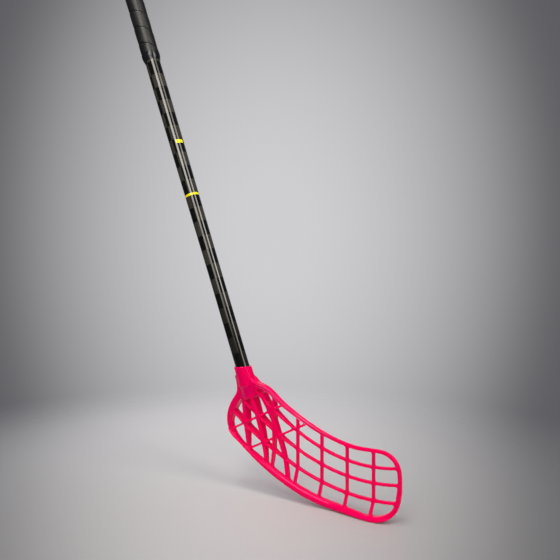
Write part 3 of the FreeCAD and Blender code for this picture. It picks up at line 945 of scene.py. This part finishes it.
# Height above the tape's lower edge and the radius there, in millimetres
TAPE_PROFILE = (
    (-0.6, 12.75), (0.6, 12.95), (2.4, 13.35), (4.6, 14.0), (6.8, 14.55), (9.0, 14.85), (10.8, 14.98),
    (12.0, 15.02), (13.0, 15.0),
)
PUCKER_DEPTH = 0.22 * MM
PUCKERS_ROUND = 9.0
PUCKER_FINENESS = 1.7
EDGE_WAVE = 0.7 * MM
EDGE_WAVE_LEVEL = 50


def pucker(turn, level):
    """Smooth noise round the band, from -1 to 1, that meets itself."""
    reach = PUCKERS_ROUND / math.tau
    return noise.noise(Vector((math.cos(turn) * reach, math.sin(turn) * reach, level)) * PUCKER_FINENESS)


def tape_ring(height, radius, level, wall):
    """Ring of points at one level of the profile."""
    points = []
    for number in range(TAPE_SIDES):
        turn = math.tau * number / TAPE_SIDES
        away = radius * MM + PUCKER_DEPTH * (1 + pucker(turn, level)) - wall
        lift = height * MM + EDGE_WAVE * level / len(TAPE_PROFILE) * pucker(turn, EDGE_WAVE_LEVEL)
        points.append((away * math.cos(turn), away * math.sin(turn), lift))
    return points


def tape_rings(wall):
    return [tape_ring(height, radius, level, wall) for level, (height, radius) in enumerate(TAPE_PROFILE)]


def tape_band():
    """Closed sleeve: outer rings upwards, then inner rings downwards."""
    rings = tape_rings(0) + tape_rings(TAPE_WALL)[::-1]
    work = bmesh.new()
    rows = [[work.verts.new(point) for point in ring] for ring in rings]
    for row, following in zip(rows, rows[1:] + rows[:1]):
        for index in range(TAPE_SIDES):
            ahead = (index + 1) % TAPE_SIDES
            work.faces.new((row[index], row[ahead], following[ahead], following[index]))
    bmesh.ops.recalc_face_normals(work, faces=work.faces)
    mesh = bpy.data.meshes.new("finishing_tape")
    work.to_mesh(mesh)
    work.free()
    return mesh


tape = add_object("finishing_tape", tape_band())
print("tape band of", len(tape.data.vertices), "points")

# %% [markdown]
# ## Tape on the shaft
# Vinyl tape is glossy and nearly black, with a cold tint. Stretching draws fine ridges along the shaft,
# which the shaft's own streaks can draw, shorter and wider.

# %% Finishing tape
TAPE_START = 529 * MM
TAPE_BLACK = (0.004, 0.0045, 0.006, 1)
TAPE_PALE = (0.008, 0.009, 0.012, 1)
TAPE_STREAK = (9.0, 0.012)
TAPE_DRIFT = 12.0
TAPE_ROUGHNESS = 0.2
TAPE_ROUGHNESS_SPREAD = 0.2
TAPE_RELIEF = 0.12
TAPE_SHARP_ANGLE = 50


def tape_finish():
    """Glossy vinyl with stretch ridges."""
    material, tree, shader = new_finish("vinyl_tape")
    spot = place_group(tree, AROUND)
    ridges = fibre_streaks(tree, spot["Along"], spot["Turn"], TAPE_STREAK)
    grain = place_group(tree, GRAIN, Drift_Size=TAPE_DRIFT)
    feed(tree, two_tone(tree, grain["Drift"], TAPE_BLACK, TAPE_PALE), shader.inputs["Base Color"])
    roughness = uneven(tree, grain["Drift"], TAPE_ROUGHNESS, TAPE_ROUGHNESS_SPREAD)
    feed(tree, roughness, shader.inputs["Roughness"])
    raise_surface(tree, shader, ridges, TAPE_RELIEF)
    return material


tape.data.materials.append(tape_finish())
shade_by_angle(tape.data, TAPE_SHARP_ANGLE)
tape.data.transform(up_the_shaft(TAPE_START))
join_stick(tape, "grip_end_tape", "grip_end_tape")

# %% [markdown]
# ## Edge of the rim
# Fine raised lines run along the upper rim, from the socket towards the toe. They follow the rim's upper
# edge, so that edge comes first: a smooth curve through a few places, drawn in front of the blade.

# %% Edge of the rim
RIM_RAY = 200 * MM
# Places on the rim's upper edge, across and below the mouth's middle, in millimetres
RIM_EDGE = (
    (29.0, -22.0), (36.0, -23.3), (43.2, -25.5), (54.6, -32.0), (71.9, -46.1), (91.4, -58.2), (110.0, -68.3),
    (130.0, -77.8), (150.0, -85.0), (168.0, -89.5),
)


def edge_curve(name, places):
    """Smooth line in front of the blade, through these places."""
    data = bpy.data.curves.new(name, "CURVE")
    data.dimensions = "3D"
    line = data.splines.new("BEZIER")
    line.bezier_points.add(len(places) - 1)
    for point, (across, height) in zip(line.bezier_points, places):
        point.co = MOUTH + Vector((across, 0, height)) * MM - Vector((0, RIM_RAY, 0))
        point.handle_left_type = point.handle_right_type = "AUTO"
    return add_object(name, data)


rim_edge = edge_curve("rim_edge", RIM_EDGE)
print("rim edge through", len(RIM_EDGE), "places")

# %% [markdown]
# ## Lines on the rim
# The moulder's tool had the lines as shallow grooves. Here a tree copies the edge at even distances,
# shifts each copy further down, drops its points on the blade's front with a raycast and gives them a
# thin round section that tapers off. Modelling them by hand would have to be done again for every change
# of the rim.

# %% Rim lines' tree
RIM_LINE_SIDES = 10
TAPER_START = 0.75
TAPER_TIP = 0.15
BACKWARDS = (0, 1, 0)


def missed(tree):
    """True where a point still lies in front of the blade."""
    depth = split(tree, put(tree, "GeometryNodeInputPosition").outputs[0])[1]
    return reckon(tree, "LESS_THAN", depth, MOUTH.y - RIM_RAY / 2)


def shifted_copies(tree, inputs):
    """Copies of the edge, each further down than the last."""
    edge = put(tree, "GeometryNodeObjectInfo", {"Object": inputs["Edge"]}).outputs["Geometry"]
    edge = put(tree, "GeometryNodeResampleCurve", {"Curve": edge, "Length": inputs["Step"]}, mode="LENGTH")
    copies = put(tree, "GeometryNodeDuplicateElements", {
        "Geometry": edge.outputs[0], "Amount": inputs["Lines"],
    }, domain="SPLINE")
    along = put(tree, "GeometryNodeInputTangent").outputs[0]
    down = reckon_vector(tree, "CROSS_PRODUCT", along, BACKWARDS)
    number = copies.outputs["Duplicate Index"]
    away = reckon(tree, "MULTIPLY_ADD", number, inputs["Spacing"], inputs["Start"])
    shift = put(tree, "ShaderNodeVectorMath", {
        0: down, "Scale": reckon(tree, "MULTIPLY", away, -1.0),
    }, operation="SCALE").outputs[0]
    moved = put(tree, "GeometryNodeSetPosition", {"Geometry": copies.outputs[0], "Offset": shift})
    return moved.outputs[0]


def dropped_lines(tree, inputs, lines):
    """Lines on the front of the target. Points that miss it are deleted."""
    target = put(tree, "GeometryNodeObjectInfo", {"Object": inputs["Target"]}).outputs["Geometry"]
    ray = put(tree, "GeometryNodeRaycast", {
        "Target Geometry": target, "Ray Direction": BACKWARDS, "Ray Length": 2 * RIM_RAY,
    }).outputs
    dropped = put(tree, "GeometryNodeSetPosition", {
        "Geometry": lines, "Selection": ray["Is Hit"], "Position": ray["Hit Position"],
        "Offset": join(tree, y=inputs["Sink"]),
    }).outputs[0]
    kept = put(tree, "GeometryNodeDeleteGeometry", {"Geometry": dropped, "Selection": missed(tree)})
    return kept.outputs[0]


def rim_line_tree():
    """Raised lines beside an edge line, on the front of a target."""
    tree, inputs = new_geometry_tree("rim_lines", {
        "Edge": "Object", "Target": "Object", "Lines": "Int", "Start": "Float", "Spacing": "Float",
        "Radius": "Float", "Sink": "Float", "Step": "Float", "Finish": "Material",
    })
    lines = dropped_lines(tree, inputs, shifted_copies(tree, inputs))
    share = put(tree, "GeometryNodeSplineParameter").outputs["Factor"]
    lines = put(tree, "GeometryNodeSetCurveRadius", {
        "Curve": lines, "Radius": ramp(tree, share, TAPER_START, 1.0, 1.0, TAPER_TIP),
    }).outputs[0]
    section = put(tree, "GeometryNodeCurvePrimitiveCircle", {
        "Resolution": RIM_LINE_SIDES, "Radius": inputs["Radius"],
    }).outputs[0]
    mesh = put(tree, "GeometryNodeCurveToMesh", {
        "Curve": lines, "Profile Curve": section, "Fill Caps": True,
        "Scale": put(tree, "GeometryNodeInputRadius").outputs[0],
    })
    finish_geometry(tree, mesh.outputs[0], inputs["Finish"])
    return tree


RIM_LINE_TREE = rim_line_tree()
print("rim line tree has", len(RIM_LINE_TREE.nodes), "nodes")

# %% [markdown]
# ## Paler ridges
# The lines catch the light, so their colour is a painted highlight: a paler pink than the rim they stand on.
# They are part of the blade's moulding, so they stand for no solid of their own.

# %% Rim lines
RIM_LINES = 2
RIM_LINE_START = 2.4 * MM
RIM_LINE_SPACING = 3.0 * MM
RIM_LINE_RADIUS = 0.55 * MM
RIM_LINE_SINK = 0.05 * MM
RIM_STEP = 1.5 * MM
# Painted highlight: the lines' paler pink stands for the light that they catch
HIGHLIGHT_PINK = (1.0, 0.22, 0.32, 1)
LINE_SHARP_ANGLE = 60
rim_lines = grow(
    "rim_lines", RIM_LINE_TREE, Edge=rim_edge, Target=blade, Lines=RIM_LINES, Start=RIM_LINE_START,
    Spacing=RIM_LINE_SPACING, Radius=RIM_LINE_RADIUS, Sink=RIM_LINE_SINK, Step=RIM_STEP,
    Finish=pink_finish("pale_ridges", HIGHLIGHT_PINK, HOT_PINK),
)
bpy.data.objects.remove(rim_edge)
shade_by_angle(rim_lines.data, LINE_SHARP_ANGLE)
join_stick(rim_lines, "blade")

# %% [markdown]
# ## End cap
# A rubber plug closes the tube. Its head is as wide as the grip and has a round edge, so that it is kind
# to hands and floors. It is turned from its outline: each point of the outline makes one ring.

# %% Turned pieces
def turned_mesh(name, outline, sides):
    """Closed solid of rings, from an outline in millimetres that starts and ends on the axis."""
    work = bmesh.new()
    rings = []
    for radius, height in outline:
        turns = [math.tau * number / sides for number in range(sides)] if radius else [0]
        away, lift = radius * MM, height * MM
        places = [(away * math.cos(turn), away * math.sin(turn), lift) for turn in turns]
        rings.append([work.verts.new(place) for place in places])
    for ring, following in zip(rings, rings[1:]):
        for index in range(sides):
            ahead = (index + 1) % sides
            corners = [ring[index % len(ring)], ring[ahead % len(ring)],
                       following[ahead % len(following)], following[index % len(following)]]
            work.faces.new(list(dict.fromkeys(corners)))
    bmesh.ops.recalc_face_normals(work, faces=work.faces)
    mesh = bpy.data.meshes.new(name)
    work.to_mesh(mesh)
    work.free()
    return mesh


def round_edge(middle, radius, steps):
    """Points of a quarter round, from its side to its top."""
    angles = [math.pi / 2 * step / steps for step in range(steps + 1)]
    return [(middle[0] + radius * math.cos(angle), middle[1] + radius * math.sin(angle)) for angle in angles]


print("turned pieces are made by", turned_mesh.__name__, "with edges by", round_edge.__name__)

# %% [markdown]
# ## Rubber plug
# The plug's stem is hollow and sits in the tube, and its head covers the ends of the tube and the strip.
# The rubber is matte and a little uneven, as it comes out of its mould.

# %% End cap
CAP_START = 846.1 * MM
CAP_SIDES = 96
EDGE_STEPS = 8
CAP_HOLLOW_RADIUS = 8.2
CAP_HOLLOW_TOP = 28.0
# Radius and height of the outline in millimetres, from the plug's inner edge to the foot of the round edge
CAP_OUTLINE = ((CAP_HOLLOW_RADIUS, 0.0), (10.2, 0.0), (10.6, 0.5), (10.6, 28.0), (14.3, 28.0), (14.8, 28.4))
CAP_EDGE_MIDDLE = (10.8, 33.0)
CAP_EDGE_RADIUS = 4.0
CAP_TOP = 37.0
RUBBER_BLACK = (0.010, 0.010, 0.010, 1)
RUBBER_PALE = (0.020, 0.020, 0.019, 1)
RUBBER_GRAIN = 0.7
RUBBER_DRIFT = 9.0
RUBBER_ROUGHNESS = 0.58
RUBBER_ROUGHNESS_SPREAD = 0.25
RUBBER_RELIEF = 0.05
TURNED_SHARP_ANGLE = 35


def rubber_finish():
    """Matte black rubber."""
    material, tree, shader = new_finish("black_rubber")
    grain = place_group(tree, GRAIN, Grain_Size=RUBBER_GRAIN, Drift_Size=RUBBER_DRIFT)
    feed(tree, two_tone(tree, grain["Drift"], RUBBER_BLACK, RUBBER_PALE), shader.inputs["Base Color"])
    roughness = uneven(tree, grain["Drift"], RUBBER_ROUGHNESS, RUBBER_ROUGHNESS_SPREAD)
    feed(tree, roughness, shader.inputs["Roughness"])
    raise_surface(tree, shader, grain["Grain"], RUBBER_RELIEF)
    return material


cap_outline = [(0, CAP_HOLLOW_TOP), (CAP_HOLLOW_RADIUS, CAP_HOLLOW_TOP), *CAP_OUTLINE]
cap_outline += [*round_edge(CAP_EDGE_MIDDLE, CAP_EDGE_RADIUS, EDGE_STEPS), (0, CAP_TOP)]
cap = add_object("rubber_plug", turned_mesh("rubber_plug", cap_outline, CAP_SIDES))
cap.data.materials.append(rubber_finish())
shade_by_angle(cap.data, TURNED_SHARP_ANGLE)
cap.data.transform(up_the_shaft(CAP_START))
join_stick(cap, "end_cap", "end_cap")

# %% [markdown]
# ## Screw
# One self-tapping screw goes through the pad on the socket's heel side and keeps the blade from turning.
# It is turned as the plug is, and its pan head has a cross recess, which is cut with a Boolean of two
# crossed bars.

# %% Screw's form
SCREW_SIDES = 64
RECESS_LENGTH = 4.2
RECESS_WIDTH = 0.95
RECESS_DEPTH = 1.3
# Radius and height of the outline in millimetres, from the tip to the foot of the head's round edge
SCREW_OUTLINE = ((0, 0.0), (1.7, 3.0), (1.7, 9.0), (3.4, 9.0), (3.5, 9.1))
HEAD_EDGE_MIDDLE = (2.0, 9.7)
HEAD_EDGE_RADIUS = 1.5
HEAD_TOP = 11.2


def cross_cutter():
    """Two crossed bars, at the head's top."""
    work = bmesh.new()
    for length, width in ((RECESS_LENGTH, RECESS_WIDTH), (RECESS_WIDTH, RECESS_LENGTH)):
        bar = bmesh.ops.create_cube(work, size=MM)["verts"]
        bmesh.ops.scale(work, verts=bar, vec=(length, width, 2 * RECESS_DEPTH))
        bmesh.ops.translate(work, verts=bar, vec=(0, 0, HEAD_TOP * MM))
    mesh = bpy.data.meshes.new("cross_cutter")
    work.to_mesh(mesh)
    work.free()
    return add_object("cross_cutter", mesh)


screw_outline = [*SCREW_OUTLINE, *round_edge(HEAD_EDGE_MIDDLE, HEAD_EDGE_RADIUS, EDGE_STEPS), (0, HEAD_TOP)]
screw = add_object("zinc_screw", turned_mesh("zinc_screw", screw_outline, SCREW_SIDES))
cutter = cross_cutter()
recess = screw.modifiers.new("cross_recess", "BOOLEAN")
recess.operation = "DIFFERENCE"
recess.solver = "EXACT"
recess.use_self = True
recess.object = cutter
settle(screw)
bpy.data.objects.remove(cutter)
print("screw of", len(screw.data.polygons), "faces with its recess")

# %% [markdown]
# ## Screw in its pad
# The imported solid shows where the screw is: the middle of its head gives the place, and the pad faces
# down the heel, square to the shaft. The zinc on it is bright, with a fine crystal grain.

# %% Screw
HEAD_SKIN = HEAD_TOP * MM / 10
OUTWARD = Vector((-math.cos(LEAN), 0, -math.sin(LEAN)))
ZINC_PALE = (0.60, 0.61, 0.62, 1)
ZINC_DULL = (0.48, 0.49, 0.50, 1)
ZINC_GRAIN = 0.25
ZINC_DRIFT = 3.0
ZINC_ROUGHNESS = 0.32
ZINC_ROUGHNESS_SPREAD = 0.3
ZINC_RELIEF = 0.01


def screw_place():
    """Stands an upright screw where the solid one is, with its head's top flush with that one's."""
    spots = [vertex.co for vertex in NODES["blade_screw"].data.vertices]
    top = max(spot.dot(OUTWARD) for spot in spots)
    head = [spot for spot in spots if spot.dot(OUTWARD) > top - HEAD_SKIN]
    low = [min(spot[axis] for spot in head) for axis in range(3)]
    high = [max(spot[axis] for spot in head) for axis in range(3)]
    middle = (Vector(low) + Vector(high)) / 2
    middle += OUTWARD * (top - HEAD_TOP * MM - middle.dot(OUTWARD))
    return Matrix.Translation(middle) @ OUTWARD.to_track_quat("Z", "Y").to_matrix().to_4x4()


def zinc_finish():
    """Bright plating."""
    material, tree, shader = new_finish("zinc_plate")
    grain = place_group(tree, GRAIN, Grain_Size=ZINC_GRAIN, Drift_Size=ZINC_DRIFT)
    feed(tree, two_tone(tree, grain["Drift"], ZINC_PALE, ZINC_DULL), shader.inputs["Base Color"])
    roughness = uneven(tree, grain["Grain"], ZINC_ROUGHNESS, ZINC_ROUGHNESS_SPREAD)
    feed(tree, roughness, shader.inputs["Roughness"])
    raise_surface(tree, shader, grain["Grain"], ZINC_RELIEF)
    set_evenly(shader, {"Metallic": 1.0})
    return material


screw.data.materials.clear()
screw.data.materials.append(zinc_finish())
shade_by_angle(screw.data, TURNED_SHARP_ANGLE)
screw.data.transform(screw_place())
join_stick(screw, "blade_screw", "blade_screw")
